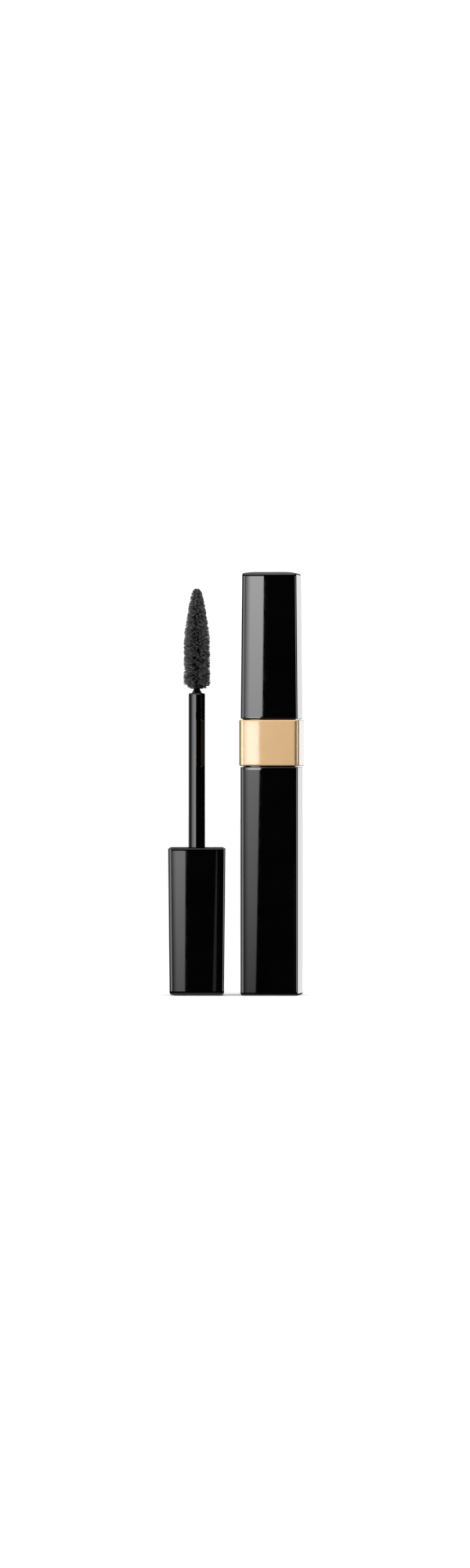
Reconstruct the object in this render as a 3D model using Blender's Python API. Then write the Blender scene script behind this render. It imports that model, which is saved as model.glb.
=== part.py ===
"""A square mascara, closed, with a second applicator standing on its cap beside it.

Metres, +Z up. The origin is the centre of the closed tube's base, +X runs to its right and
-Y is its front. Each applicator is modelled in its own frame, whose origin is the centre of
the cap's open rim, with the cap above it and the brush below it.
"""

import math

import bmesh
import bpy

MM = 0.001

# Fits
GAP = 0.3 * MM  # between two pieces that touch, or pass each other
THREAD_CLEARANCE = 0.2 * MM  # between the two threads' crests, on the radius

# Case: the black outer shell
CASE_SIDE = 16.2 * MM  # of its square section
CASE_HEIGHT = 64.2 * MM
CASE_WALL = 1.2 * MM
CASE_FLOOR = 1.6 * MM
CORNER_RADIUS = 0.9 * MM  # upright edges of the case and cap
INNER_CORNER_RADIUS = 0.4 * MM
END_RADIUS = 0.9 * MM  # edges round the case's base and the cap's end
RIM_RADIUS = 0.25 * MM  # small edges either side of each seam

# Label under the case
LABEL_MARGIN = 2.4 * MM  # from the case's sides
LABEL_THICKNESS = 0.2 * MM

# Gold band and the insert that carries it
BAND_HEIGHT = 12.9 * MM
BAND_PROUD = 0.35 * MM
BAND_WALL = 0.5 * MM
BAND_CHAMFER = 0.25 * MM
SKIRT_LENGTH = 5.0 * MM
PLINTH_CLEARANCE = 0.45 * MM  # inside the cap's walls
PLINTH_HEIGHT = 1.0 * MM

# Cap
CAP_LENGTH = 41.3 * MM
CAP_INSET = 0.05 * MM  # each side of its rim, behind the case's sides
CAP_TAPER = 0.38 * MM  # each side, over the cap's length
CAP_WALL = 1.0 * MM
CAP_END_WALL = 1.6 * MM
CROWN_WIDTH = 2.6 * MM
CROWN_DROP = 0.3 * MM

# Threaded insert in the cap
INSERT_RECESS = 1.6 * MM  # behind the cap's rim
INSERT_FLANGE = 1.2 * MM
INSERT_WALL = 0.55 * MM
INSERT_ROOF = 1.2 * MM
SOCKET_WALL = 1.2 * MM
SOCKET_LENGTH = 7.0 * MM

# Bottle and its threads
BOTTLE_WALL = 0.9 * MM
NECK_WALL = 0.8 * MM
NECK_HEIGHT = 8.2 * MM  # above the band
SHOULDER_RISE = 2.0 * MM
THREAD_HEIGHT = 0.38 * MM
THREAD_PITCH = 2.0 * MM
THREAD_TURNS = 1.5
THREAD_WIDTH = 1.0 * MM
THREAD_SINK = 0.25 * MM  # how far a ridge is sunk into its wall

# Wiper and liner
WIPER_FLANGE = 0.6 * MM
WIPER_WALL = 0.5 * MM
WIPER_DEPTH = 9.4 * MM
WIPER_CONE = 3.2 * MM
SEAL_THICKNESS = 0.8 * MM

# Wand
STEM_SHARE = 0.5503  # of the neck's bore, so that the wiper fits between them
STEM_TIP_RADIUS = 1.4 * MM
STEM_TIP_LENGTH = 1.1 * MM
TIP_CLEARANCE = 1.8 * MM  # from the brush's tip to the bottle's floor
CORE_RADIUS = 0.5 * MM
CORE_PITCH = 8.0 * MM
CORE_DEPTH = 6.0 * MM  # held in the stem
BRUSH_LENGTH = 28.2 * MM
BRUSH_TAPER = 15.8 * MM  # the pointed part of the brush
BRUSH_TIP_RADIUS = 1.1 * MM

# Second applicator, beside the tube
PAIR_GAP = 4.95 * MM  # between the loose cap's rim and the case
PAIR_TURN = math.radians(6)  # the loose one stands a little turned, and a little forward

# Facets
CORNER_STEPS = 8  # points round a quarter turn
AROUND = 4 * CORNER_STEPS
CORE_AROUND = 10
CORE_STEPS_PER_TURN = 8

# Levels in the closed tube
BAND_BOTTOM = CASE_HEIGHT + GAP
BAND_TOP = BAND_BOTTOM + BAND_HEIGHT
RIM_Z = BAND_TOP + GAP
SKIRT_BOTTOM = CASE_HEIGHT - SKIRT_LENGTH
BOTTLE_BOTTOM = CASE_FLOOR + GAP
BOTTLE_FLOOR = BOTTLE_BOTTOM + BOTTLE_WALL
NECK_BOTTOM = SKIRT_BOTTOM - GAP
NECK_TOP = BAND_TOP + NECK_HEIGHT
TIP_Z = BOTTLE_FLOOR + TIP_CLEARANCE

# Sizes that follow from the ones above
CAP_SIDE = CASE_SIDE - 2 * CAP_INSET
WIPER_BOTTOM = NECK_TOP + GAP
SEAL_BOTTOM = WIPER_BOTTOM + WIPER_FLANGE + GAP
ROOF_Z = SEAL_BOTTOM + SEAL_THICKNESS + GAP
SOCKET_END = ROOF_Z + INSERT_ROOF + SOCKET_LENGTH
TAPER_AT_SOCKET = CAP_TAPER * (SOCKET_END - RIM_Z) / CAP_LENGTH
INSERT_RADIUS = CAP_SIDE / 2 - CAP_WALL - TAPER_AT_SOCKET - GAP
BORE_RADIUS = INSERT_RADIUS - INSERT_WALL
NECK_RADIUS = BORE_RADIUS - 2 * THREAD_HEIGHT - THREAD_CLEARANCE
NECK_BORE = NECK_RADIUS - NECK_WALL
STEM_RADIUS = STEM_SHARE * NECK_BORE
BRUSH_RADIUS = NECK_BORE - GAP
PLINTH_RADIUS = CAP_SIDE / 2 - CAP_WALL - PLINTH_CLEARANCE
BOTTLE_RADIUS = CASE_SIDE / 2 - CASE_WALL - GAP
WAND_REACH = RIM_Z - TIP_Z
STEM_END = -WAND_REACH + BRUSH_LENGTH + GAP
PAIR_SPACING = CASE_SIDE / 2 + PAIR_GAP + CAP_SIDE / 2


def clear_scene():
    for old in list(bpy.data.objects):
        bpy.data.objects.remove(old, do_unlink=True)


def finish_material(name, colour, roughness, metallic=0.0):
    material = bpy.data.materials.get(name) or bpy.data.materials.new(name)
    material.use_nodes = True
    shader = material.node_tree.nodes["Principled BSDF"]
    shader.inputs["Base Color"].default_value = (*colour, 1.0)
    shader.inputs["Roughness"].default_value = roughness
    shader.inputs["Metallic"].default_value = metallic
    return material


def gloss_black():
    return finish_material("gloss_black", (0.006, 0.006, 0.007), 0.08)


def moulded_black():
    return finish_material("moulded_black", (0.012, 0.012, 0.013), 0.35)


def satin_gold():
    return finish_material("satin_gold", (0.72, 0.53, 0.30), 0.3, 1.0)


def square(side, radius, z):
    """A rounded square's points, a quarter turn at each corner."""
    points = []
    for corner in range(4):
        side_x = 1 if corner in (0, 3) else -1
        side_y = 1 if corner in (0, 1) else -1
        for step in range(CORNER_STEPS):
            angle = math.pi / 2 * (corner + step / (CORNER_STEPS - 1))
            x = side_x * (side / 2 - radius) + radius * math.cos(angle)
            y = side_y * (side / 2 - radius) + radius * math.sin(angle)
            points.append((x, y, z))
    return points


def circle(radius, z, around=AROUND):
    """A circle's points, in step with a rounded square's."""
    turns = [(index + 0.5) / around for index in range(around)]
    return [
        (radius * math.cos(2 * math.pi * t), radius * math.sin(2 * math.pi * t), z)
        for t in turns
    ]


def circles(profile):
    """One circle for each (radius, z) of a turned profile."""
    return [circle(radius, z) for radius, z in profile]


def place(name, mesh, material, parent=None, smooth_angle=40):
    bm = bmesh.new()
    bm.from_mesh(mesh)
    bmesh.ops.recalc_face_normals(bm, faces=bm.faces)
    bm.to_mesh(mesh)
    bm.free()
    mesh.shade_smooth()
    mesh.set_sharp_from_angle(angle=math.radians(smooth_angle))
    obj = bpy.data.objects.new(name, mesh)
    obj.parent = parent
    obj.data.materials.append(material)
    bpy.context.scene.collection.objects.link(obj)
    return obj


def loft(name, sections, material, parent=None, ring=False):
    """A solid whose skin joins the sections in order.

    A ring joins the last section to the first. Otherwise the first and last are closed off.
    """
    mesh = bpy.data.meshes.new(name)
    bm = bmesh.new()
    loops = [[bm.verts.new(point) for point in section] for section in sections]
    pairs = list(zip(loops, loops[1:]))
    if ring:
        pairs.append((loops[-1], loops[0]))
    else:
        bm.faces.new(loops[0])
        bm.faces.new(loops[-1])
    for low, high in pairs:
        for index in range(len(low)):
            after = (index + 1) % len(low)
            bm.faces.new((low[index], low[after], high[after], high[index]))
    bm.to_mesh(mesh)
    bm.free()
    return place(name, mesh, material, parent)


def thread_ridge(name, wall_radius, outward, start_z, parent=None):
    """A helical ridge that is joined to a wall, and runs out into it at both ends."""
    steps = round(THREAD_TURNS * AROUND)
    fade = AROUND // 6
    side = 1 if outward else -1
    mesh = bpy.data.meshes.new(name)
    bm = bmesh.new()
    rows = []
    for step in range(steps + 1):
        angle = 2 * math.pi * step / AROUND
        z = start_z + THREAD_PITCH * step / AROUND
        height = THREAD_HEIGHT * min(1.0, 1.6 * min(step, steps - step) / fade - 0.4)
        corners = [
            (wall_radius - side * THREAD_SINK * 2, z - THREAD_WIDTH / 2),
            (wall_radius + side * height, z - THREAD_WIDTH / 6),
            (wall_radius + side * height, z + THREAD_WIDTH / 6),
            (wall_radius - side * THREAD_SINK * 2, z + THREAD_WIDTH / 2),
        ]
        rows.append(
            [bm.verts.new((r * math.cos(angle), r * math.sin(angle), h)) for r, h in corners]
        )
    for low, high in zip(rows, rows[1:]):
        for index in range(4):
            after = (index + 1) % 4
            bm.faces.new((low[index], low[after], high[after], high[index]))
    bm.faces.new(rows[0])
    bm.faces.new(rows[-1])
    bm.to_mesh(mesh)
    bm.free()
    ridge = place(name, mesh, moulded_black(), parent)
    ridge.hide_render = True
    ridge.display_type = "WIRE"
    return ridge


def join_ridge(obj, ridge):
    union = obj.modifiers.new("thread", "BOOLEAN")
    union.operation = "UNION"
    union.solver = "EXACT"
    union.object = ridge


def rounded_edge(radius, steps=4):
    """(inset, rise) pairs from an upright side over a quarter round to the flat end."""
    angles = [math.pi / 2 * step / steps for step in range(steps + 1)]
    return [(radius * (1 - math.cos(a)), radius * math.sin(a)) for a in angles]


# --- closed tube -------------------------------------------------------------------------


def case_outline(inset, z, radius=None):
    radius = max(CORNER_RADIUS - inset, INNER_CORNER_RADIUS) if radius is None else radius
    return square(CASE_SIDE - 2 * inset, radius, z)


def label_outline(margin, z):
    inset = LABEL_MARGIN - margin
    return case_outline(inset, z, INNER_CORNER_RADIUS)


def make_tube_case():
    """The outer case: a cup with a label recess under its floor."""
    inside = CASE_WALL
    sections = [
        case_outline(inside, CASE_FLOOR, INNER_CORNER_RADIUS),
        case_outline(inside, CASE_HEIGHT, INNER_CORNER_RADIUS),
        case_outline(RIM_RADIUS, CASE_HEIGHT),
        case_outline(0, CASE_HEIGHT - RIM_RADIUS),
    ]
    for inset, rise in rounded_edge(END_RADIUS):
        sections.append(case_outline(inset, END_RADIUS - rise))
    sections.append(label_outline(GAP, 0))
    sections.append(label_outline(GAP, LABEL_THICKNESS + GAP))
    return loft("tube_case", sections, gloss_black())


def make_base_label():
    sections = [label_outline(0, 0), label_outline(0, LABEL_THICKNESS)]
    paper = finish_material("label_paper", (0.6, 0.58, 0.54), 0.6)
    return loft("base_label", sections, paper)


def make_inner_bottle():
    """The reservoir: a round bottle with a threaded neck that stands up into the cap."""
    shoulder = NECK_BOTTOM - SHOULDER_RISE
    inner = BOTTLE_RADIUS - BOTTLE_WALL
    foot = END_RADIUS / 2
    profile = [
        (inner, BOTTLE_FLOOR),
        (inner, shoulder),
        (NECK_BORE, NECK_BOTTOM - BOTTLE_WALL),
        (NECK_BORE, NECK_TOP),
        (NECK_RADIUS - RIM_RADIUS / 2, NECK_TOP),
        (NECK_RADIUS, NECK_TOP - RIM_RADIUS / 2),
        (NECK_RADIUS, NECK_BOTTOM),
        (BOTTLE_RADIUS, shoulder),
        (BOTTLE_RADIUS, BOTTLE_BOTTOM + foot),
        (BOTTLE_RADIUS - foot, BOTTLE_BOTTOM),
    ]
    bottle = loft("inner_bottle", circles(profile), moulded_black())
    start = NECK_TOP - RIM_RADIUS - THREAD_WIDTH - THREAD_PITCH * THREAD_TURNS
    join_ridge(bottle, thread_ridge("neck_thread", NECK_RADIUS, True, start))
    return bottle


def make_shoulder_insert():
    """The collar under the band. Its skirt plugs the case and holds the bottle down."""
    bore = NECK_RADIUS + GAP
    skirt = CASE_WALL + GAP
    carrier = BAND_WALL - BAND_PROUD + GAP
    top = BAND_TOP - GAP
    sections = [
        circle(bore, SKIRT_BOTTOM),
        case_outline(skirt, SKIRT_BOTTOM),
        case_outline(skirt, BAND_BOTTOM),
        case_outline(carrier, BAND_BOTTOM),
        case_outline(carrier, top - RIM_RADIUS),
        case_outline(carrier + RIM_RADIUS, top),
        circle(PLINTH_RADIUS, top),
        circle(PLINTH_RADIUS, top + PLINTH_HEIGHT - RIM_RADIUS),
        circle(PLINTH_RADIUS - RIM_RADIUS, top + PLINTH_HEIGHT),
        circle(bore, top + PLINTH_HEIGHT),
    ]
    return loft("shoulder_insert", sections, moulded_black(), ring=True)


def make_gold_band():
    """A thin metal sleeve, proud of the case, with its edges broken."""
    inside = BAND_WALL - BAND_PROUD
    outer_corner = CORNER_RADIUS + BAND_PROUD
    sections = [
        case_outline(inside, BAND_BOTTOM),
        case_outline(BAND_CHAMFER - BAND_PROUD, BAND_BOTTOM, outer_corner - BAND_CHAMFER),
        case_outline(-BAND_PROUD, BAND_BOTTOM + BAND_CHAMFER, outer_corner),
        case_outline(-BAND_PROUD, BAND_TOP - BAND_CHAMFER, outer_corner),
        case_outline(BAND_CHAMFER - BAND_PROUD, BAND_TOP, outer_corner - BAND_CHAMFER),
        case_outline(inside, BAND_TOP),
    ]
    return loft("gold_band", sections, satin_gold(), ring=True)


def make_wiper():
    """A soft flanged sleeve in the neck. Its cone ends in a lip round the stem."""
    outer = NECK_BORE - GAP
    inner = outer - WIPER_WALL
    lip = STEM_RADIUS + GAP
    lip_z = NECK_TOP - WIPER_DEPTH
    cone_z = lip_z + WIPER_CONE
    flange_top = WIPER_BOTTOM + WIPER_FLANGE
    profile = [
        (inner, flange_top),
        (NECK_RADIUS, flange_top),
        (NECK_RADIUS, WIPER_BOTTOM),
        (outer, WIPER_BOTTOM),
        (outer, cone_z),
        (lip + WIPER_WALL, lip_z),
        (lip, lip_z),
        (lip, lip_z + WIPER_WALL),
        (inner, cone_z + WIPER_WALL),
    ]
    rubber = finish_material("wiper_rubber", (0.05, 0.05, 0.055), 0.5)
    return loft("wiper", circles(profile), rubber, ring=True)


# --- applicator, in its own frame ----------------------------------------------------------


def cap_outline(inset, z, radius=None):
    taper = CAP_TAPER * z / CAP_LENGTH
    radius = max(CORNER_RADIUS - inset, INNER_CORNER_RADIUS) if radius is None else radius
    return square(CAP_SIDE - 2 * (taper + inset), radius, z)


def make_cap_shell(name, parent):
    """The outer cap: a tapered cup, open at its rim, with a softly crowned end."""
    shoulder = CAP_LENGTH - CROWN_DROP - END_RADIUS
    sections = [
        cap_outline(CAP_WALL, CAP_LENGTH - CAP_END_WALL, INNER_CORNER_RADIUS),
        cap_outline(CAP_WALL, 0, INNER_CORNER_RADIUS),
        cap_outline(RIM_RADIUS, 0),
        cap_outline(0, RIM_RADIUS),
    ]
    for inset, rise in rounded_edge(END_RADIUS):
        sections.append(cap_outline(inset, shoulder + rise))
    sections.append(cap_outline(END_RADIUS + CROWN_WIDTH, CAP_LENGTH))
    return loft(name, sections, gloss_black(), parent)


def make_cap_insert(name, parent):
    """The threaded inner cap: a flanged sleeve, a roof, and a socket that holds the stem."""
    flange_top = INSERT_RECESS + INSERT_FLANGE
    bore = STEM_RADIUS + GAP
    roof = ROOF_Z - RIM_Z
    socket = roof + INSERT_ROOF
    end = SOCKET_END - RIM_Z
    flange_inset = CAP_WALL + GAP
    sections = [
        circle(bore, end - SOCKET_WALL),
        circle(bore, roof),
        circle(BORE_RADIUS, roof),
        circle(BORE_RADIUS, INSERT_RECESS),
        cap_outline(flange_inset, INSERT_RECESS),
        cap_outline(flange_inset, flange_top),
        circle(INSERT_RADIUS, flange_top),
        circle(INSERT_RADIUS, socket),
        circle(bore + SOCKET_WALL, socket),
        circle(bore + SOCKET_WALL, end),
    ]
    insert = loft(name, sections, moulded_black(), parent)
    start = INSERT_RECESS + THREAD_WIDTH
    ridge = thread_ridge(name + "_thread", BORE_RADIUS, False, start, parent)
    join_ridge(insert, ridge)
    return insert


def make_seal_ring(name, parent):
    """The liner between the neck and the inner cap's roof."""
    low = SEAL_BOTTOM - RIM_Z
    inner = NECK_BORE - GAP - WIPER_WALL
    outer = BORE_RADIUS - GAP
    profile = [
        (inner, low),
        (outer, low),
        (outer, low + SEAL_THICKNESS),
        (inner, low + SEAL_THICKNESS),
    ]
    foam = finish_material("seal_foam", (0.55, 0.55, 0.53), 0.8)
    return loft(name, circles(profile), foam, parent, ring=True)


def make_stem(name, parent):
    """The wand: a round rod, bored at its lower end for the brush's wire."""
    top = SOCKET_END - RIM_Z - SOCKET_WALL - GAP
    bore = CORE_RADIUS + GAP
    profile = [
        (STEM_RADIUS - RIM_RADIUS, top),
        (STEM_RADIUS, top - RIM_RADIUS),
        (STEM_RADIUS, STEM_END + STEM_TIP_LENGTH),
        ((STEM_RADIUS + STEM_TIP_RADIUS) / 2, STEM_END + STEM_TIP_LENGTH / 3),
        (STEM_TIP_RADIUS, STEM_END),
        (bore, STEM_END),
        (bore, STEM_END + CORE_DEPTH + GAP),
    ]
    return loft(name, circles(profile), gloss_black(), parent)


def make_brush_core(name, parent):
    """The brush's wire: two strands, twisted together."""
    top = STEM_END + CORE_DEPTH
    low = -WAND_REACH + GAP
    steps = round((top - low) / CORE_PITCH * CORE_STEPS_PER_TURN)
    sections = []
    for step in range(steps + 1):
        turn = 2 * math.pi * step / CORE_STEPS_PER_TURN
        section = []
        for index in range(CORE_AROUND):
            angle = 2 * math.pi * index / CORE_AROUND
            radius = CORE_RADIUS * (0.78 + 0.22 * math.cos(2 * angle))
            x = radius * math.cos(angle + turn)
            y = radius * math.sin(angle + turn)
            section.append((x, y, low + (top - low) * step / steps))
        sections.append(section)
    steel = finish_material("wire_steel", (0.45, 0.45, 0.45), 0.3, 1.0)
    return loft(name, sections, steel, parent)


def make_bristles(name, parent):
    """The brush's outer shape: a cylinder that narrows like a bullet to its tip."""
    low = -WAND_REACH
    top = low + BRUSH_LENGTH
    bore = CORE_RADIUS + GAP
    start = BRUSH_TAPER * (BRUSH_TIP_RADIUS / BRUSH_RADIUS) ** 2
    rows = 6
    profile = [(bore, low)]
    for row in range(rows + 1):
        along = start + (BRUSH_TAPER - start) * (row / rows) ** 1.5
        profile.append((BRUSH_RADIUS * math.sqrt(along / BRUSH_TAPER), low + along - start))
    profile.append((BRUSH_RADIUS, top - END_RADIUS / 2))
    profile.append((BRUSH_RADIUS - END_RADIUS / 2, top))
    profile.append((bore, top))
    nylon = finish_material("bristle_nylon", (0.02, 0.02, 0.02), 0.7)
    return loft(name, circles(profile), nylon, parent, ring=True)


def make_applicator(prefix, location, rotation):
    """Cap and wand, on an empty at the centre of the cap's rim."""
    frame = bpy.data.objects.new(prefix + "applicator", None)
    frame.location = location
    frame.rotation_euler = rotation
    bpy.context.scene.collection.objects.link(frame)
    make_cap_shell(prefix + "cap_shell", frame)
    make_cap_insert(prefix + "cap_insert", frame)
    make_seal_ring(prefix + "seal_ring", frame)
    make_stem(prefix + "stem", frame)
    make_brush_core(prefix + "brush_core", frame)
    make_bristles(prefix + "bristles", frame)
    return frame


def main():
    clear_scene()
    make_tube_case()
    make_base_label()
    make_inner_bottle()
    make_shoulder_insert()
    make_gold_band()
    make_wiper()
    make_applicator("", (0, 0, RIM_Z), (0, 0, 0))
    # The loose one is upside down, on its cap's end.
    beside = (
        -PAIR_SPACING * math.cos(PAIR_TURN),
        -PAIR_SPACING * math.sin(PAIR_TURN),
        CAP_LENGTH,
    )
    make_applicator("loose_", beside, (math.pi, 0, PAIR_TURN))


main()
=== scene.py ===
"""The looks of the square mascara: its shells, band, wand and brush, their materials, and the studio.

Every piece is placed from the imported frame's boxes. Metres, +Z up. An applicator's pieces are made
once in its own frame, whose origin is the centre of its cap's rim, with the cap above and the brush
below, and are then placed twice: on the tube, and upside down beside it.
"""

import math
import random

import bmesh
import bpy
from mathutils import Matrix, Vector


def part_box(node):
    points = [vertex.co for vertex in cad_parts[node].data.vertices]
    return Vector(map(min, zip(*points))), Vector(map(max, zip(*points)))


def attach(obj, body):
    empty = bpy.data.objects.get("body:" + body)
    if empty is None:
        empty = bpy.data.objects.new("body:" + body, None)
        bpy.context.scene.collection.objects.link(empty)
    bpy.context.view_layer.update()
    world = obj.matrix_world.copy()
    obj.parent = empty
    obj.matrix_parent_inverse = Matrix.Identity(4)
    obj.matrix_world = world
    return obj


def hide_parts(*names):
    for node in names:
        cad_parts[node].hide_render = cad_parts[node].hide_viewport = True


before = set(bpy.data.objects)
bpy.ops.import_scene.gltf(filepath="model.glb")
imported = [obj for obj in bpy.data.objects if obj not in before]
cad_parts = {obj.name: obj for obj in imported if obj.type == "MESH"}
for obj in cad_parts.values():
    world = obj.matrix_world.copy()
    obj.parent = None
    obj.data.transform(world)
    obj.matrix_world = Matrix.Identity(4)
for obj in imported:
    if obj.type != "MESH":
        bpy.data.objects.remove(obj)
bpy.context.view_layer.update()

MM = 0.001

# --- sizes read from the frame ---------------------------------------------------------------

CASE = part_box("tube_case")
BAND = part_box("gold_band")
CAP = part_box("cap_shell")
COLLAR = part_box("shoulder_insert")
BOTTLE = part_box("inner_bottle")
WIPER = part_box("wiper")
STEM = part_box("stem")
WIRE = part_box("brush_core")
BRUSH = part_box("bristles")
LOOSE_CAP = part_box("loose_cap_shell")

RIM_Z = CAP[0].z
CASE_HALF = CASE[1].x
BAND_HALF = BAND[1].x
CAP_HALF = CAP[1].x
CAP_LENGTH = CAP[1].z - CAP[0].z
STEM_RADIUS = STEM[1].x
BRUSH_RADIUS = BRUSH[1].x

LOOSE_CENTRE = (LOOSE_CAP[0] + LOOSE_CAP[1]) / 2
PAIR_TURN = math.atan2(-LOOSE_CENTRE.y, -LOOSE_CENTRE.x)

# --- sizes that the boxes don't give ---------------------------------------------------------

CORNER_RADIUS = 0.9 * MM  # upright edges
END_RADIUS = 0.6 * MM  # edges round the case's base and the cap's end
RIM_RADIUS = 0.25 * MM
CASE_WALL = 1.2 * MM
CAP_WALL = 1.0 * MM
CAP_TAPER = 0.38 * MM  # each side, over the cap's length
FACE_CROWN = 0.01 * MM  # how far a moulded face swells at its middle
SEAM_LIP = 0.25 * MM  # the small step that closes a seam from behind
LIP_WALL = 0.5 * MM
INNER_CORNER = 0.4 * MM  # upright edges inside the case and the cap
GAP = 0.3 * MM  # between pieces that are pressed together
BOTTLE_WALL = 0.9 * MM
BOTTLE_FOOT = 0.45 * MM  # the round at the bottle's base
NECK_WALL = 0.8 * MM
SHOULDER_RISE = 2.0 * MM
WIPER_WALL = 0.5 * MM
WIPER_FLANGE = 0.6 * MM
WIPER_CONE = 3.2 * MM
THREAD_HEIGHT = 0.38 * MM
THREAD_WIDTH = 1.0 * MM
THREAD_PITCH = 2.0 * MM
THREAD_TURNS = 1.5
TWIST_PITCH = 2.2 * MM  # of the brush's wire
BRUSH_TAPER = 15.8 * MM
BRUSH_TIP_RADIUS = 1.1 * MM
FIBRE_ROOT = 0.3 * MM  # from the wire's axis
FIBRE_RADIUS = 0.07 * MM
FIBRE_SIDES = 3

FACE_ROWS = (0.01, 0.25, 0.5, 0.75, 0.99, 1.0)  # shares of a tall face's height
CORNER_STEPS = 14
SIDE_STEPS = 6
AROUND = 96


# --- mesh tools ------------------------------------------------------------------------------


def rounded_square(half, radius, z, crown=0.0):
    """A square's outline with round corners and faces that swell by crown at their middle."""
    points = []
    flat = half - radius
    for corner in range(4):
        turn = Matrix.Rotation(math.pi / 2 * corner, 2)
        for step in range(CORNER_STEPS + 1):
            angle = math.pi / 2 * step / CORNER_STEPS
            x = flat + radius * math.cos(angle)
            y = flat + radius * math.sin(angle)
            points.append(turn @ Vector((x, y)))
        for step in range(1, SIDE_STEPS):
            across = 1 - 2 * step / SIDE_STEPS
            points.append(turn @ Vector((flat * across, half + crown * (1 - across**2))))
    return [(p.x, p.y, z) for p in points]


def circle(radius, z):
    turns = [2 * math.pi * index / AROUND for index in range(AROUND)]
    return [(radius * math.cos(t), radius * math.sin(t), z) for t in turns]


def quarter_round(radius, steps=6):
    """(inset, rise) pairs from an upright wall over a quarter round to a level end."""
    angles = [math.pi / 2 * step / steps for step in range(steps + 1)]
    return [(radius * (1 - math.cos(a)), radius * math.sin(a)) for a in angles]


def new_mesh(name, vertices, faces, smooth_angle=32):
    mesh = bpy.data.meshes.new(name)
    mesh.from_pydata(vertices, [], faces)
    mesh.validate()
    bm = bmesh.new()
    bm.from_mesh(mesh)
    bmesh.ops.recalc_face_normals(bm, faces=bm.faces)
    bm.to_mesh(mesh)
    bm.free()
    mesh.shade_smooth()
    mesh.set_sharp_from_angle(angle=math.radians(smooth_angle))
    return mesh


def skin(name, sections, ring=False):
    """A closed skin over the sections, which all have as many points."""
    count = len(sections[0])
    vertices = [point for section in sections for point in section]
    faces = []
    rows = len(sections) if ring else len(sections) - 1
    for row in range(rows):
        low = row * count
        high = (row + 1) % len(sections) * count
        for index in range(count):
            after = (index + 1) % count
            faces.append((low + index, low + after, high + after, high + index))
    if not ring:
        faces.append(tuple(range(count)))
        faces.append(tuple(range(len(vertices) - count, len(vertices))))
    return new_mesh(name, vertices, faces)


def even_shading(obj):
    """Keeps large faces flat beside their rounded edges."""
    weighted = obj.modifiers.new("even_shading", "WEIGHTED_NORMAL")
    weighted.mode = "FACE_AREA"
    weighted.weight = 80
    weighted.keep_sharp = True


def add_piece(name, mesh, material, body, replaced, place=None):
    obj = bpy.data.objects.new(name, mesh)
    bpy.context.scene.collection.objects.link(obj)
    if not obj.data.materials:
        obj.data.materials.append(material)
    if place is not None:
        obj.matrix_world = place
    even_shading(obj)
    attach(obj, body)
    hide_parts(replaced)


# --- materials -------------------------------------------------------------------------------


class Finish:
    """A procedural finish: one Principled shader, with its textures in object space."""

    def __init__(self, name, sockets):
        self.material = bpy.data.materials.new(name)
        self.material.use_nodes = True
        self.tree = self.material.node_tree
        self.shader = self.tree.nodes["Principled BSDF"]
        self.place = self.add("ShaderNodeTexCoord").outputs["Object"]
        for socket, value in sockets.items():
            self.shader.inputs[socket].default_value = value

    def add(self, kind, **settings):
        node = self.tree.nodes.new(kind)
        for key, value in settings.items():
            setattr(node, key, value)
        return node

    def join(self, source, target):
        self.tree.links.new(source, target)

    def noise(self, size, detail=3.0, stretch=(1, 1, 1), distortion=0.0):
        """A noise value whose features are about size across."""
        mapping = self.add("ShaderNodeMapping")
        mapping.inputs["Scale"].default_value = stretch
        self.join(self.place, mapping.inputs["Vector"])
        node = self.add("ShaderNodeTexNoise")
        node.inputs["Scale"].default_value = 1 / size
        node.inputs["Detail"].default_value = detail
        node.inputs["Distortion"].default_value = distortion
        self.join(mapping.outputs["Vector"], node.inputs["Vector"])
        return node.outputs["Fac"]

    def cells(self, size):
        """The distance to the nearest cell's middle, for cells about size across."""
        node = self.add("ShaderNodeTexVoronoi", feature="F1")
        node.inputs["Scale"].default_value = 1 / size
        self.join(self.place, node.inputs["Vector"])
        return node.outputs["Distance"]

    def ramp(self, value, stops):
        """A colour ramp; each stop is (position, grey or colour)."""
        node = self.add("ShaderNodeValToRGB")
        elements = node.color_ramp.elements
        while len(elements) < len(stops):
            elements.new(0.5)
        for element, (position, colour) in zip(elements, stops):
            element.position = position
            rgb = colour if isinstance(colour, tuple) else (colour,) * 3
            element.color = (*rgb, 1.0)
        self.join(value, node.inputs["Fac"])
        return node.outputs["Color"]

    def spread(self, value, low, high, start=0.3, end=0.7):
        """The value, mapped from start..end to low..high."""
        node = self.add("ShaderNodeMapRange")
        node.inputs["From Min"].default_value = start
        node.inputs["From Max"].default_value = end
        node.inputs["To Min"].default_value = low
        node.inputs["To Max"].default_value = high
        self.join(value, node.inputs["Value"])
        return node.outputs["Result"]

    def mix(self, factor, first, second):
        node = self.add("ShaderNodeMix", data_type="RGBA")
        self.join(factor, node.inputs["Factor"])
        self.join(first, node.inputs[6])
        self.join(second, node.inputs[7])
        return node.outputs[2]

    def maths(self, operation, first, second):
        node = self.add("ShaderNodeMath", operation=operation)
        for index, value in enumerate((first, second)):
            if isinstance(value, (int, float)):
                node.inputs[index].default_value = value
            else:
                self.join(value, node.inputs[index])
        return node.outputs["Value"]

    def colour(self, value):
        self.join(value, self.shader.inputs["Base Color"])

    def roughness(self, value):
        self.join(value, self.shader.inputs["Roughness"])

    def bump(self, height, depth, strength=1.0):
        node = self.add("ShaderNodeBump")
        node.inputs["Distance"].default_value = depth
        node.inputs["Strength"].default_value = strength
        self.join(height, node.inputs["Height"])
        self.join(node.outputs["Normal"], self.shader.inputs["Normal"])


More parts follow.
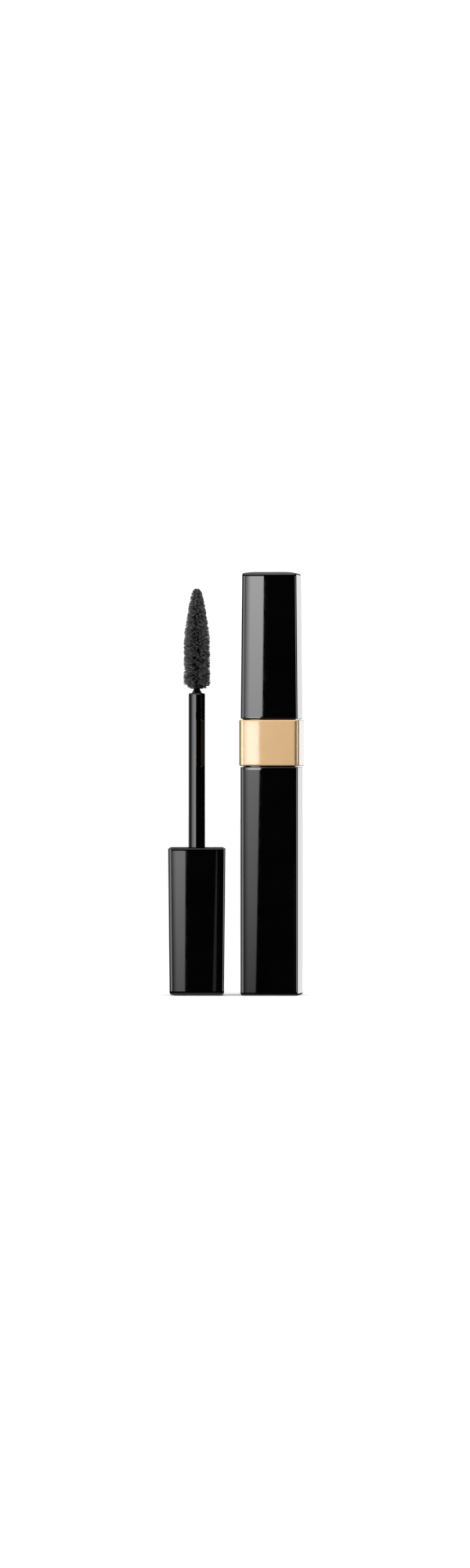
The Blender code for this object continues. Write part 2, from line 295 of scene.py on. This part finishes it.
def gloss_black(name):
    """Polished black styrene: deep colour, faint mould waviness, and a breath of haze."""
    finish = Finish(name, {"IOR": 1.5})
    cloud = finish.noise(9 * MM, 4)
    finish.colour(
        finish.ramp(cloud, [(0.3, (0.0003, 0.0003, 0.00032)), (0.7, (0.0007, 0.0007, 0.00075))])
    )
    finish.roughness(finish.spread(finish.noise(3 * MM, 5, distortion=0.6), 0.012, 0.022))
    finish.bump(finish.noise(7 * MM, 1.0), 0.6e-6)
    return finish.material


def moulded_black(name):
    """Black polypropylene with a fine spark-eroded texture."""
    finish = Finish(name, {"IOR": 1.48})
    grain = finish.noise(0.12 * MM, 4)
    finish.colour(finish.ramp(finish.noise(1.5 * MM, 3), [(0.3, 0.006), (0.7, 0.011)]))
    finish.roughness(finish.spread(grain, 0.3, 0.44))
    finish.bump(grain, 0.012 * MM, 0.4)
    return finish.material


def lacquered_gold(name):
    """Satin gold aluminium under clear lacquer: fine even grain below, a clean gloss above."""
    lacquer = {"Coat Weight": 1.0, "Coat Roughness": 0.03, "Coat IOR": 1.5}
    finish = Finish(name, {"Metallic": 1.0, **lacquer})
    grain = finish.noise(0.16 * MM, 3)
    brushed = finish.noise(0.07 * MM, 2, stretch=(1, 1, 0.05))
    cloud = finish.noise(4 * MM, 2)
    light = finish.ramp(grain, [(0.25, (0.53, 0.35, 0.18)), (0.75, (0.6, 0.41, 0.225))])
    deep = finish.ramp(grain, [(0.25, (0.5, 0.325, 0.16)), (0.75, (0.575, 0.385, 0.205))])
    finish.colour(finish.mix(cloud, light, deep))
    finish.roughness(finish.spread(brushed, 0.38, 0.5))
    finish.bump(grain, 0.004 * MM, 0.35)
    return finish.material


def bristle_nylon(name):
    """Black nylon fibre, each one a slightly different grey, with painted shade that darkens it deep
    in the brush and a painted highlight that pales its tip.
    """
    finish = Finish(name, {"IOR": 1.53})
    parts = finish.add("ShaderNodeSeparateXYZ")
    finish.join(finish.place, parts.inputs["Vector"])
    x2 = finish.maths("MULTIPLY", parts.outputs["X"], parts.outputs["X"])
    y2 = finish.maths("MULTIPLY", parts.outputs["Y"], parts.outputs["Y"])
    reach2 = finish.maths("ADD", x2, y2)
    tip_z = BRUSH[0].z - RIM_Z
    widest2 = finish.spread(
        parts.outputs["Z"], BRUSH_TIP_RADIUS**2, BRUSH_RADIUS**2, tip_z, tip_z + BRUSH_TAPER
    )
    # Painted shade and highlight share: 0 deep in the brush by the wire, 1 at the brush's outline.
    depth = finish.spread(finish.maths("DIVIDE", reach2, widest2), 0.0, 1.0, 0.1, 0.95)
    fibre = finish.add("ShaderNodeNewGeometry").outputs["Random Per Island"]
    # Dark painted-shade colours for the roots and pale painted-highlight colours for the tips; the
    # spread between fibres is their own tone.
    root = finish.ramp(fibre, [(0.0, 0.006), (1.0, 0.016)])
    tip = finish.ramp(fibre, [(0.0, 0.05), (0.7, 0.12), (1.0, 0.22)])
    finish.colour(finish.mix(depth, root, tip))
    finish.roughness(finish.spread(finish.noise(0.3 * MM, 2), 0.35, 0.5))
    finish.bump(finish.noise(0.05 * MM, 2), 0.004 * MM, 0.3)
    return finish.material


def drawn_steel(name):
    finish = Finish(name, {"Metallic": 1.0})
    streak = finish.noise(0.08 * MM, 3, stretch=(1, 1, 0.1))
    finish.colour(finish.ramp(streak, [(0.3, (0.28, 0.28, 0.29)), (0.7, (0.46, 0.46, 0.47))]))
    finish.roughness(finish.spread(streak, 0.22, 0.4))
    finish.bump(streak, 0.004 * MM, 0.4)
    return finish.material


def soft_rubber(name):
    finish = Finish(name, {"IOR": 1.45})
    grain = finish.noise(0.2 * MM, 4)
    finish.colour(finish.ramp(finish.noise(1.2 * MM, 3), [(0.3, 0.03), (0.7, 0.05)]))
    finish.roughness(finish.spread(grain, 0.45, 0.6))
    finish.bump(grain, 0.01 * MM, 0.3)
    return finish.material


def closed_foam(name):
    finish = Finish(name, {"IOR": 1.4})
    cell = finish.cells(0.16 * MM)
    # Darker in each cell's middle, where the bump sinks into a pit: painted shade in the pits.
    finish.colour(finish.ramp(cell, [(0.0, (0.4, 0.4, 0.38)), (0.6, (0.66, 0.65, 0.62))]))
    finish.roughness(finish.spread(cell, 0.7, 0.9, 0.0, 0.6))
    finish.bump(cell, 0.03 * MM, 0.6)
    return finish.material


def matt_label(name):
    finish = Finish(name, {"IOR": 1.45})
    fibres = finish.noise(0.25 * MM, 5, stretch=(1, 3, 1))
    finish.colour(finish.ramp(fibres, [(0.3, (0.5, 0.49, 0.45)), (0.7, (0.62, 0.61, 0.57))]))
    finish.roughness(finish.spread(fibres, 0.5, 0.65))
    finish.bump(fibres, 0.004 * MM, 0.4)
    return finish.material


# --- closed tube's own pieces ----------------------------------------------------------------


def make_case(material):
    """The outer case: a cup with a rounded rim and base, and a shallow recess under it."""
    low, high = CASE[0].z, CASE[1].z
    floor = 1.6 * MM
    recess_width = 2.1 * MM
    recess_depth = 0.5 * MM
    inner = CASE_HALF - CASE_WALL
    sections = [
        rounded_square(inner, INNER_CORNER, low + floor),
        rounded_square(inner, INNER_CORNER, high + SEAM_LIP),
        rounded_square(inner + LIP_WALL, INNER_CORNER, high + SEAM_LIP),
        rounded_square(inner + LIP_WALL, INNER_CORNER, high),
    ]
    for inset, rise in reversed(quarter_round(RIM_RADIUS, 4)):
        z = high - RIM_RADIUS + rise
        sections.append(rounded_square(CASE_HALF - inset, CORNER_RADIUS - inset, z, FACE_CROWN))
    for share in FACE_ROWS:
        z = high - RIM_RADIUS + (low + END_RADIUS - high + RIM_RADIUS) * share
        sections.append(rounded_square(CASE_HALF, CORNER_RADIUS, z, FACE_CROWN))
    for inset, rise in quarter_round(END_RADIUS, 8)[1:]:
        z = low + END_RADIUS - rise
        sections.append(rounded_square(CASE_HALF - inset, CORNER_RADIUS - inset, z, FACE_CROWN))
    recess = CASE_HALF - recess_width
    sections.append(rounded_square(recess, INNER_CORNER, low))
    sections.append(rounded_square(recess, INNER_CORNER, low + recess_depth))
    add_piece("case_outer", skin("case_outer", sections), material, "tube", "tube_case")


def make_band(material):
    """The gold band: a thin sleeve with small rolled edges."""
    low, high = BAND[0].z, BAND[1].z
    edge = 0.3 * MM
    wall = 0.5 * MM
    corner = CORNER_RADIUS + 0.35 * MM
    inner_corner = 0.75 * MM
    sections = [rounded_square(BAND_HALF - wall, inner_corner, low)]
    for inset, rise in reversed(quarter_round(edge, 5)):
        sections.append(rounded_square(BAND_HALF - inset, corner - inset, low + edge - rise))
    for inset, rise in quarter_round(edge, 5):
        sections.append(rounded_square(BAND_HALF - inset, corner - inset, high - edge + rise))
    sections.append(rounded_square(BAND_HALF - wall, inner_corner, high))
    mesh = skin("band_sleeve", sections, ring=True)
    add_piece("band_sleeve", mesh, material, "tube", "gold_band")


def thread_height(angle, above_start):
    """How far the neck's thread stands out: a sloped ridge that fades at both of its ends."""
    fade_turns = 1 / 12
    slope_share = 0.6  # of the ridge's half width, on each side of its level crest
    height = 0.0
    for lap in (0, 1):
        turn = angle / (2 * math.pi) + lap
        fade = min(1.0, turn / fade_turns, (THREAD_TURNS - turn) / fade_turns)
        off_centre = abs(above_start - THREAD_PITCH * turn) / (THREAD_WIDTH / 2)
        ridge = min(1.0, (1 - off_centre) / slope_share)
        height = max(height, THREAD_HEIGHT * ridge * fade if fade > 0 else 0.0)
    return height


def threaded_circle(radius, z, start):
    """A circle round the neck, with the thread's ridge where it passes this height."""
    points = []
    for index in range(AROUND):
        angle = 2 * math.pi * index / AROUND
        reach = radius + thread_height(angle, z - start)
        points.append((reach * math.cos(angle), reach * math.sin(angle), z))
    return points


def make_bottle(material):
    """The bottle: hidden in the case up to its neck, whose thread takes the cap's insert."""
    low, high = BOTTLE[0].z, BOTTLE[1].z
    body = BOTTLE[1].x
    neck = WIPER[1].x
    bore = neck - NECK_WALL
    inner = body - BOTTLE_WALL
    neck_foot = COLLAR[0].z - GAP
    shoulder = neck_foot - SHOULDER_RISE
    edge = RIM_RADIUS / 2
    sections = [
        circle(inner, low + BOTTLE_WALL),
        circle(inner, shoulder),
        circle(bore, neck_foot - BOTTLE_WALL),
        circle(bore, high - edge),
    ]
    for inset, rise in quarter_round(edge, 4)[1:]:
        sections.append(circle(bore + inset, high - edge + rise))
    for inset, rise in reversed(quarter_round(edge, 4)):
        sections.append(circle(neck - inset, high - edge + rise))
    thread_middle = RIM_RADIUS + THREAD_WIDTH / 2 + THREAD_PITCH * THREAD_TURNS
    start = high - thread_middle
    thread_foot = thread_middle + THREAD_WIDTH
    rows = 60
    for row in range(1, rows + 1):
        z = high - edge - (thread_foot - edge) * row / rows
        sections.append(threaded_circle(neck, z, start))
    sections.append(circle(neck, neck_foot))
    sections.append(circle(body, shoulder))
    for inset, rise in quarter_round(BOTTLE_FOOT, 5):
        sections.append(circle(body - inset, low + BOTTLE_FOOT - rise))
    mesh = skin("bottle_threaded", sections)
    add_piece("bottle_threaded", mesh, material, "tube", "inner_bottle")


def make_wiper(material):
    """The wiper: a flanged sleeve in the neck, whose cone ends in a thin lip round the wand."""
    low, high = WIPER[0].z, WIPER[1].z
    flange = WIPER[1].x
    outer = flange - NECK_WALL - GAP
    inner = outer - WIPER_WALL
    lip = STEM_RADIUS + GAP
    cone = low + WIPER_CONE
    edge = 0.15 * MM
    profile = [(inner, cone + WIPER_WALL), (inner, high - 2 * edge)]
    for inset, rise in quarter_round(2 * edge, 4)[1:]:
        profile.append((inner + inset, high - 2 * edge + rise))
    for inset, rise in reversed(quarter_round(edge, 4)):
        profile.append((flange - inset, high - edge + rise))
    profile += [
        (flange, high - WIPER_FLANGE),
        (outer, high - WIPER_FLANGE),
        (outer, cone),
        (lip + WIPER_WALL, low),
        (lip + edge, low),
        (lip, low + edge),
        (lip, low + WIPER_WALL),
    ]
    mesh = skin("wiper_sleeve", [circle(r, z) for r, z in profile], ring=True)
    add_piece("wiper_sleeve", mesh, material, "tube", "wiper")


# --- applicator pieces, in its own frame -----------------------------------------------------


def cap_half(z):
    """The cap's half width at a height above its rim."""
    return CAP_HALF - CAP_TAPER * z / CAP_LENGTH


def make_cap_mesh():
    """The outer cap: tapered, with a rounded rim and a softly domed end."""
    end_wall = 1.6 * MM
    drop = 0.3 * MM
    crown_width = 2.6 * MM
    top_half = cap_half(CAP_LENGTH)
    sections = [
        rounded_square(top_half - CAP_WALL, INNER_CORNER, CAP_LENGTH - end_wall),
        rounded_square(CAP_HALF - CAP_WALL, INNER_CORNER, -SEAM_LIP),
        rounded_square(CAP_HALF - CAP_WALL + LIP_WALL, INNER_CORNER, -SEAM_LIP),
        rounded_square(CAP_HALF - CAP_WALL + LIP_WALL, INNER_CORNER, 0),
    ]
    for inset, rise in reversed(quarter_round(RIM_RADIUS, 4)):
        z = RIM_RADIUS - rise
        sections.append(rounded_square(CAP_HALF - inset, CORNER_RADIUS - inset, z, FACE_CROWN))
    shoulder = CAP_LENGTH - drop - END_RADIUS
    for share in FACE_ROWS:
        z = RIM_RADIUS + (shoulder - RIM_RADIUS) * share
        sections.append(rounded_square(cap_half(z), CORNER_RADIUS, z, FACE_CROWN))
    for inset, rise in quarter_round(END_RADIUS, 8)[1:]:
        z = shoulder + rise
        sections.append(rounded_square(top_half - inset, CORNER_RADIUS - inset, z, FACE_CROWN))
    dome_rows = 5
    for row in range(1, dome_rows + 1):
        share = row / dome_rows
        inset = END_RADIUS + crown_width * share
        z = CAP_LENGTH - drop * (1 - share) ** 2
        corner = (0.3 + 1.2 * share) * MM
        sections.append(rounded_square(top_half - inset, corner, z))
    return skin("cap_outer", sections)


def make_stem_mesh():
    """The wand: a round rod with a rolled shoulder, and a cone that closes on the brush's wire."""
    end = STEM[0].z - RIM_Z
    top = STEM[1].z - RIM_Z
    bore = 0.5 * MM
    bore_top = end + 6.3 * MM
    edge = 0.05 * MM
    cone_tip = end - 0.8 * MM
    cone_foot = 1.5 * MM
    roll = 0.45 * MM
    shoulder = end + 0.9 * MM
    profile = [
        (bore, bore_top),
        (bore, cone_tip + edge),
        (bore + edge, cone_tip),
        (bore + 2 * edge, cone_tip),
    ]
    cone_rows = 6
    for row in range(1, cone_rows + 1):
        share = row / cone_rows
        radius = bore + 2 * edge + (cone_foot - bore - 2 * edge) * share**1.15
        profile.append((radius, cone_tip + (shoulder - cone_tip) * share))
    for inset, rise in reversed(quarter_round(roll, 8)):
        profile.append((STEM_RADIUS - inset, shoulder + roll - rise))
    rows = 8
    for row in range(1, rows + 1):
        along = (top - RIM_RADIUS - roll - shoulder) * row / rows
        profile.append((STEM_RADIUS, shoulder + roll + along))
    profile.append((STEM_RADIUS - RIM_RADIUS, top))
    return skin("wand_stem", [circle(r, z) for r, z in profile])


def add_tube_faces(faces, first, rings, around):
    """Faces of a closed tube, from its rings of points, the first of which starts at first."""
    for ring in range(rings - 1):
        row = first + ring * around
        for index in range(around):
            after = (index + 1) % around
            faces.append((row + index, row + after, row + around + after, row + around + index))
    last = first + (rings - 1) * around
    faces.append(tuple(range(first, first + around)))
    faces.append(tuple(range(last, last + around)))


def make_wire_mesh():
    """The brush's wire: two round strands twisted round each other."""
    low = WIRE[0].z - RIM_Z
    high = WIRE[1].z - RIM_Z
    strand = 0.24 * MM
    around = 10
    per_turn = 20
    steps = round((high - low) / TWIST_PITCH * per_turn)
    slope = math.atan2(TWIST_PITCH, 2 * math.pi * strand)
    rise = Vector((0, 0, 1))
    vertices = []
    faces = []
    for start in (0.0, math.pi):
        add_tube_faces(faces, len(vertices), steps + 1, around)
        for step in range(steps + 1):
            turn = start + 2 * math.pi * step / per_turn
            z = low + (high - low) * step / steps
            centre = Vector((strand * math.cos(turn), strand * math.sin(turn), z))
            radial = Vector((math.cos(turn), math.sin(turn), 0))
            side = Vector((-math.sin(turn), math.cos(turn), 0))
            across = side * math.sin(slope) - rise * math.cos(slope)
            for index in range(around):
                angle = 2 * math.pi * index / around
                point = centre + strand * 0.98 * (radial * math.cos(angle) + across * math.sin(angle))
                point.z = min(max(point.z, low), high)
                vertices.append(point)
    return new_mesh("brush_wire", vertices, faces, 60)


def brush_outline(from_tip, from_stem):
    """How far the fibres reach: pointed at the tip, a bullet's curve, and a chamfer at the stem."""
    point_radius = 0.45 * MM
    point_slope = 0.75
    stem_end_radius = 1.5 * MM
    stem_end_slope = 1.9
    tip_start = BRUSH_TAPER * (BRUSH_TIP_RADIUS / BRUSH_RADIUS) ** 2
    bullet = BRUSH_RADIUS * math.sqrt((from_tip + tip_start) / BRUSH_TAPER)
    point = point_radius + point_slope * from_tip
    chamfer = stem_end_radius + stem_end_slope * from_stem
    return min(BRUSH_RADIUS, bullet, point, chamfer)


def fibre_points(angle, z_root, length, lean, sway, lift):
    """The points of one fibre, in rings from the wire to its tip. Sway and lift curve it."""
    out = Vector((math.cos(angle), math.sin(angle), 0))
    side = Vector((-out.y, out.x, 0))
    rise = Vector((0, 0, 1))
    spots = ((FIBRE_ROOT, 1.0), (0.5 * length, 1.0), (0.85 * length, 0.95), (length, 0.8))
    points = []
    for reach, width in spots:
        bend = (reach / BRUSH_RADIUS) ** 2 * BRUSH_RADIUS
        centre = out * reach + rise * (z_root - lean * reach + lift * bend) + side * sway * bend
        for corner in range(FIBRE_SIDES):
            turn = 2 * math.pi * corner / FIBRE_SIDES
            ray = side * math.cos(turn) + rise * math.sin(turn)
            points.append(centre + ray * (FIBRE_RADIUS * width))
    return points


def make_bristle_mesh():
    """The brush: thousands of nylon fibres, held in the wire's twist.

    Half of the tufts follow a spiral staircase both ways and half fill the space between. All
    are trimmed to the brush's outline.
    """
    draw = random.Random(11)
    low = BRUSH[0].z - RIM_Z
    high = BRUSH[1].z - RIM_Z
    end_margin = 0.1 * MM
    tufts = 2100
    tuft_size = 4
    vertices = []
    faces = []
    for tuft in range(tufts):
        z_tuft = low + (high - low) * (tuft + 0.5) / tufts
        staircase = 2 * math.pi * z_tuft / TWIST_PITCH + math.pi * (tuft % 2)
        if tuft % 4 < 2:
            tuft_angle = staircase + draw.gauss(0, 0.7)
        else:
            tuft_angle = draw.uniform(0, 2 * math.pi)
        tuft_lean = draw.gauss(0, 0.07) + 0.5 * max(0.0, 1 - (z_tuft - low) / (2.5 * MM))
        tuft_length = 1 - abs(draw.gauss(0, 0.08))
        for _ in range(tuft_size):
            angle = tuft_angle + draw.gauss(0, 0.05)
            z_root = z_tuft + draw.gauss(0, 0.14 * MM)
            z_root = min(max(z_root, low + end_margin), high - end_margin)
            length = brush_outline(z_root - low, high - z_root) * tuft_length
            length *= 1 - abs(draw.gauss(0, 0.03))
            lean = tuft_lean + draw.gauss(0, 0.02)
            sway = draw.gauss(0, 0.04)
            lift = draw.gauss(0, 0.04)
            points = fibre_points(angle, z_root, length, lean, sway, lift)
            add_tube_faces(faces, len(vertices), len(points) // FIBRE_SIDES, FIBRE_SIDES)
            for point in points:
                point.z = min(max(point.z, low), high)
            vertices += points
    return new_mesh("brush_fibres", vertices, faces, 80)


# --- build -----------------------------------------------------------------------------------


def make_pieces():
    """Every piece, and finishes for the nodes that are carried over from the frame."""
    case_black = gloss_black("case_gloss_black")
    cap_black = gloss_black("cap_gloss_black")
    stem_black = gloss_black("stem_gloss_black")
    gold = lacquered_gold("lacquered_gold")
    nylon = bristle_nylon("bristle_nylon")
    steel = drawn_steel("drawn_steel")
    moulded = moulded_black("moulded_black_texture")
    rubber = soft_rubber("wiper_soft")
    foam = closed_foam("seal_foam_cells")
    paper = matt_label("label_matt_paper")

    make_case(case_black)
    make_band(gold)
    make_bottle(moulded)
    make_wiper(rubber)

    closed = Matrix.Translation((0, 0, RIM_Z))
    stand = Vector((LOOSE_CENTRE.x, LOOSE_CENTRE.y, LOOSE_CAP[1].z))
    flip = Matrix.Rotation(PAIR_TURN, 4, "Z") @ Matrix.Rotation(math.pi, 4, "X")
    loose = Matrix.Translation(stand) @ flip
    cap = make_cap_mesh()
    stem = make_stem_mesh()
    wire = make_wire_mesh()
    fibres = make_bristle_mesh()
    for prefix, body, place in (("", "applicator", closed), ("loose_", "loose_applicator", loose)):
        add_piece(prefix + "cap_outer", cap, cap_black, body, prefix + "cap_shell", place)
        add_piece(prefix + "wand_stem", stem, stem_black, body, prefix + "stem", place)
        add_piece(prefix + "brush_wire", wire, steel, body, prefix + "brush_core", place)
        add_piece(prefix + "brush_fibres", fibres, nylon, body, prefix + "bristles", place)

    carried = {
        "base_label": paper,
        "shoulder_insert": moulded,
        "seal_ring": foam,
        "cap_insert": moulded,
        "loose_seal_ring": foam,
        "loose_cap_insert": moulded,
    }
    for node, material in carried.items():
        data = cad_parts[node].data
        for index in range(len(data.materials)):
            data.materials[index] = material


# --- studio ----------------------------------------------------------------------------------

ACROSS = Vector((math.cos(PAIR_TURN), math.sin(PAIR_TURN), 0))
TOWARD = Vector((math.sin(PAIR_TURN), -math.cos(PAIR_TURN), 0))
AIM = Vector((LOOSE_CENTRE.x / 2, LOOSE_CENTRE.y / 2, 0)) + ACROSS * 0.2 * MM
EYE_HEIGHT = 59.4 * MM
FRAME_HEIGHT = 440 * MM  # at the front faces
DISTANCE = 2.2  # from the camera to the front faces
SENSOR = 36 * MM
REACH = 250 * MM  # from the front faces to the small cards
PAST_LEFT = -1.3  # a share of the flat, past its left end and over the round corner
CARD_BOTTOM = -0.04
CARD_TOP = 0.17


def studio_point(across, toward, up):
    """A point measured from the pair's middle: to the camera's right, towards it, and up."""
    return AIM + ACROSS * across + TOWARD * toward + Vector((0, 0, up))


def make_camera():
    data = bpy.data.cameras.new("camera")
    camera = bpy.data.objects.new("camera", data)
    data.sensor_width = SENSOR / MM
    data.lens = SENSOR / MM * DISTANCE / FRAME_HEIGHT
    data.clip_start = 0.01
    data.clip_end = 50
    camera.location = studio_point(0, DISTANCE + CASE_HALF, EYE_HEIGHT)
    camera.rotation_euler = TOWARD.to_track_quat("Z", "Y").to_euler()
    bpy.context.scene.collection.objects.link(camera)
    bpy.context.scene.camera = camera


def softbox(name, centre, target, width, height, radiance):
    """A rectangular light that faces the target and has the given radiance."""
    data = bpy.data.lights.new(name, "AREA")
    data.shape = "RECTANGLE"
    data.size = width
    data.size_y = height
    data.energy = radiance * math.pi * width * height
    light = bpy.data.objects.new(name, data)
    light.location = centre
    light.rotation_euler = (centre - target).to_track_quat("Z", "Y").to_euler()
    light.visible_camera = False
    bpy.context.scene.collection.objects.link(light)


def make_floor():
    data = bpy.data.meshes.new("floor")
    bm = bmesh.new()
    bmesh.ops.create_circle(bm, cap_ends=True, segments=96, radius=12.0)
    bm.to_mesh(data)
    bm.free()
    floor = bpy.data.objects.new("floor", data)
    floor.location = (0, 0, -0.05 * MM)
    bpy.context.scene.collection.objects.link(floor)
    finish = Finish("floor_white", {"Roughness": 0.9})
    finish.colour(finish.ramp(finish.noise(0.4, 3), [(0.3, 0.86), (0.7, 0.9)]))
    data.materials.append(finish.material)
    floor.visible_glossy = False


def make_world():
    """White to the camera and to matt surfaces.

    In gloss it is dark round the horizon, bright overhead and dimmer below.
    """
    world = bpy.data.worlds.new("studio")
    world.use_nodes = True
    tree = world.node_tree
    tree.nodes.clear()
    output = tree.nodes.new("ShaderNodeOutputWorld")
    white = tree.nodes.new("ShaderNodeBackground")
    white.inputs["Color"].default_value = (1, 1, 1, 1)
    white.inputs["Strength"].default_value = 1.2
    tent = tree.nodes.new("ShaderNodeBackground")
    coordinates = tree.nodes.new("ShaderNodeTexCoord")
    split = tree.nodes.new("ShaderNodeSeparateXYZ")
    height = tree.nodes.new("ShaderNodeMapRange")
    height.inputs["From Min"].default_value = -1.0
    ramp = tree.nodes.new("ShaderNodeValToRGB")
    elements = ramp.color_ramp.elements
    elements.new(0.3)
    elements.new(0.6)
    stops = ((0.1, 0.3), (0.35, 0.0), (0.65, 0.0), (0.88, 1.0))
    for element, (position, grey) in zip(elements, stops):
        element.position = position
        element.color = (grey, grey, grey, 1)
    path = tree.nodes.new("ShaderNodeLightPath")
    mix = tree.nodes.new("ShaderNodeMixShader")
    tree.links.new(coordinates.outputs["Generated"], split.inputs["Vector"])
    tree.links.new(split.outputs["Z"], height.inputs["Value"])
    tree.links.new(height.outputs["Result"], ramp.inputs["Fac"])
    tree.links.new(ramp.outputs["Color"], tent.inputs["Color"])
    tent.inputs["Strength"].default_value = 1.8
    tree.links.new(path.outputs["Is Glossy Ray"], mix.inputs["Fac"])
    tree.links.new(white.outputs["Background"], mix.inputs[1])
    tree.links.new(tent.outputs["Background"], mix.inputs[2])
    tree.links.new(mix.outputs["Shader"], output.inputs["Surface"])
    bpy.context.scene.world = world


def mirrored(place, half, slope, share, z, reach):
    """Where the camera's ray goes after it meets a black front face, reach metres on.

    share runs from -1 at the left end of the face's flat to 1 at its right end, and slope is how
    much the face leans in for each metre up.
    """
    flat = half - CORNER_RADIUS
    point = place @ Vector((share * flat, -half, z))
    normal = (place.to_3x3() @ Vector((0, -1, slope))).normalized()
    ray = (point - bpy.context.scene.camera.location).normalized()
    return point + (ray - 2 * ray.dot(normal) * normal) * reach


def glow(name, low, high, vertical=True, soft_edge=0.0):
    """A white glow whose strength runs from low to high across the card.

    A soft edge is the share of the width over which the card's left side fades in.
    """
    material = bpy.data.materials.new(name)
    material.use_nodes = True
    tree = material.node_tree
    tree.nodes.clear()
    output = tree.nodes.new("ShaderNodeOutputMaterial")
    emission = tree.nodes.new("ShaderNodeEmission")
    coordinates = tree.nodes.new("ShaderNodeTexCoord")
    split = tree.nodes.new("ShaderNodeSeparateXYZ")
    grade = tree.nodes.new("ShaderNodeMapRange")
    grade.inputs["To Min"].default_value = low
    grade.inputs["To Max"].default_value = high
    tree.links.new(coordinates.outputs["UV"], split.inputs["Vector"])
    tree.links.new(split.outputs["Y" if vertical else "X"], grade.inputs["Value"])
    strength = grade.outputs["Result"]
    if soft_edge:
        fade = tree.nodes.new("ShaderNodeMapRange")
        fade.inputs["From Max"].default_value = soft_edge
        fade.inputs["To Min"].default_value = 0.15
        tree.links.new(split.outputs["X"], fade.inputs["Value"])
        product = tree.nodes.new("ShaderNodeMath")
        product.operation = "MULTIPLY"
        tree.links.new(strength, product.inputs[0])
        tree.links.new(fade.outputs["Result"], product.inputs[1])
        strength = product.outputs["Value"]
    tree.links.new(strength, emission.inputs["Strength"])
    tree.links.new(emission.outputs["Emission"], output.inputs["Surface"])
    return material


def card(name, corners, material, lights_matt=True):
    """A glowing card through four corners: bottom left, bottom right, top right, top left.

    It shows in gloss, never to the camera, and casts no shadow.
    """
    mesh = bpy.data.meshes.new(name)
    mesh.from_pydata([tuple(corner) for corner in corners], [], [(0, 1, 2, 3)])
    layer = mesh.uv_layers.new(name="grade")
    for loop, spot in enumerate(((0, 0), (1, 0), (1, 1), (0, 1))):
        layer.data[loop].uv = spot
    mesh.materials.append(material)
    obj = bpy.data.objects.new(name, mesh)
    bpy.context.scene.collection.objects.link(obj)
    obj.visible_camera = False
    obj.visible_shadow = False
    obj.visible_diffuse = lights_matt


def face_card(name, place, foot, head, slope, low, high):
    """A small card that shows on a front face as a strip from its foot to its head.

    Each end is (the face's half width, the strip's left and right shares of the flat, height).
    """
    foot_half, foot_left, foot_right, foot_z = foot
    head_half, head_left, head_right, head_z = head
    spots = (
        (foot_half, foot_left, foot_z),
        (foot_half, foot_right, foot_z),
        (head_half, head_right, head_z),
        (head_half, head_left, head_z),
    )
    corners = [mirrored(place, half, slope, share, z, REACH) for half, share, z in spots]
    card(name, corners, glow(name, low, high, soft_edge=0.35), lights_matt=False)


def make_face_cards():
    """The upright strips of light down the left of each face, and a dim one on the loose cap."""
    upright = Matrix.Identity(4)
    over = SEAM_LIP / 2  # past the seam, so that strips meet there
    foot = (CASE_HALF, PAST_LEFT, -0.62, CASE[0].z - 4 * MM)
    head = (CASE_HALF, PAST_LEFT, -0.43, CASE[1].z + over)
    face_card("case_strip_card", upright, foot, head, 0.0, 0.9, 3.4)
    foot = (BAND_HALF, -1.15, -0.37, BAND[0].z - over)
    head = (BAND_HALF, -1.15, -0.37, BAND[1].z + over)
    face_card("band_strip_card", upright, foot, head, 0.0, 11.0, 11.0)

    slope = CAP_TAPER / CAP_LENGTH
    rim_half, end_half = cap_half(0), cap_half(CAP_LENGTH)
    closed = Matrix.Translation((0, 0, RIM_Z))
    foot = (rim_half, PAST_LEFT, -0.31, -2 * MM)
    head = (end_half, PAST_LEFT, -0.26, CAP_LENGTH + 1 * MM)
    face_card("cap_strip_card", closed, foot, head, slope, 6.4, 9.0)

    stand = Matrix.Translation((LOOSE_CENTRE.x, LOOSE_CENTRE.y, 0))
    loose = stand @ Matrix.Rotation(PAIR_TURN, 4, "Z")
    foot = (end_half, PAST_LEFT, -0.59, -3 * MM)
    head = (rim_half, PAST_LEFT, -0.52, CAP_LENGTH)
    face_card("loose_strip_card", loose, foot, head, -slope, 1.9, 4.0)
    foot = (end_half, 0.76, 1.0, -3 * MM)
    head = (rim_half, 0.93, 1.0, CAP_LENGTH)
    face_card("loose_dim_card", loose, foot, head, -slope, 0.35, 0.45)


def side_card(name, near_angle, far_angle, distance, near_glow, far_glow):
    """A tall card beside the pair, between two bearings from the camera's, positive to the right."""
    angles = [math.radians(angle) for angle in (near_angle, far_angle)]
    near, far = [(distance * math.sin(a), distance * math.cos(a)) for a in angles]
    spots = ((near, CARD_BOTTOM), (far, CARD_BOTTOM), (far, CARD_TOP), (near, CARD_TOP))
    corners = [studio_point(*foot, z) for foot, z in spots]
    card(name, corners, glow(name, near_glow, far_glow, vertical=False))


def make_lights():
    """The strips' cards, four tall cards round the pair, and a softbox above its front."""
    make_face_cards()
    side_card("left_card", -17, -82, 0.6, 6.8, 1.2)
    side_card("left_rear_card", -100, -150, 0.7, 0.5, 0.3)
    side_card("right_card", 65, 81, 0.7, 7.0, 7.0)
    side_card("right_rear_card", 152, 171, 0.8, 1.3, 1.3)
    middle = studio_point(0, 0, EYE_HEIGHT)
    softbox("top_front_softbox", studio_point(0, 0.45, 0.5), middle, 0.9, 0.35, 2.4)


def make_studio():
    make_camera()
    make_floor()
    make_world()
    make_lights()
    scene = bpy.context.scene
    scene.view_settings.view_transform = "Standard"
    scene.view_settings.look = "None"


make_pieces()
make_studio()
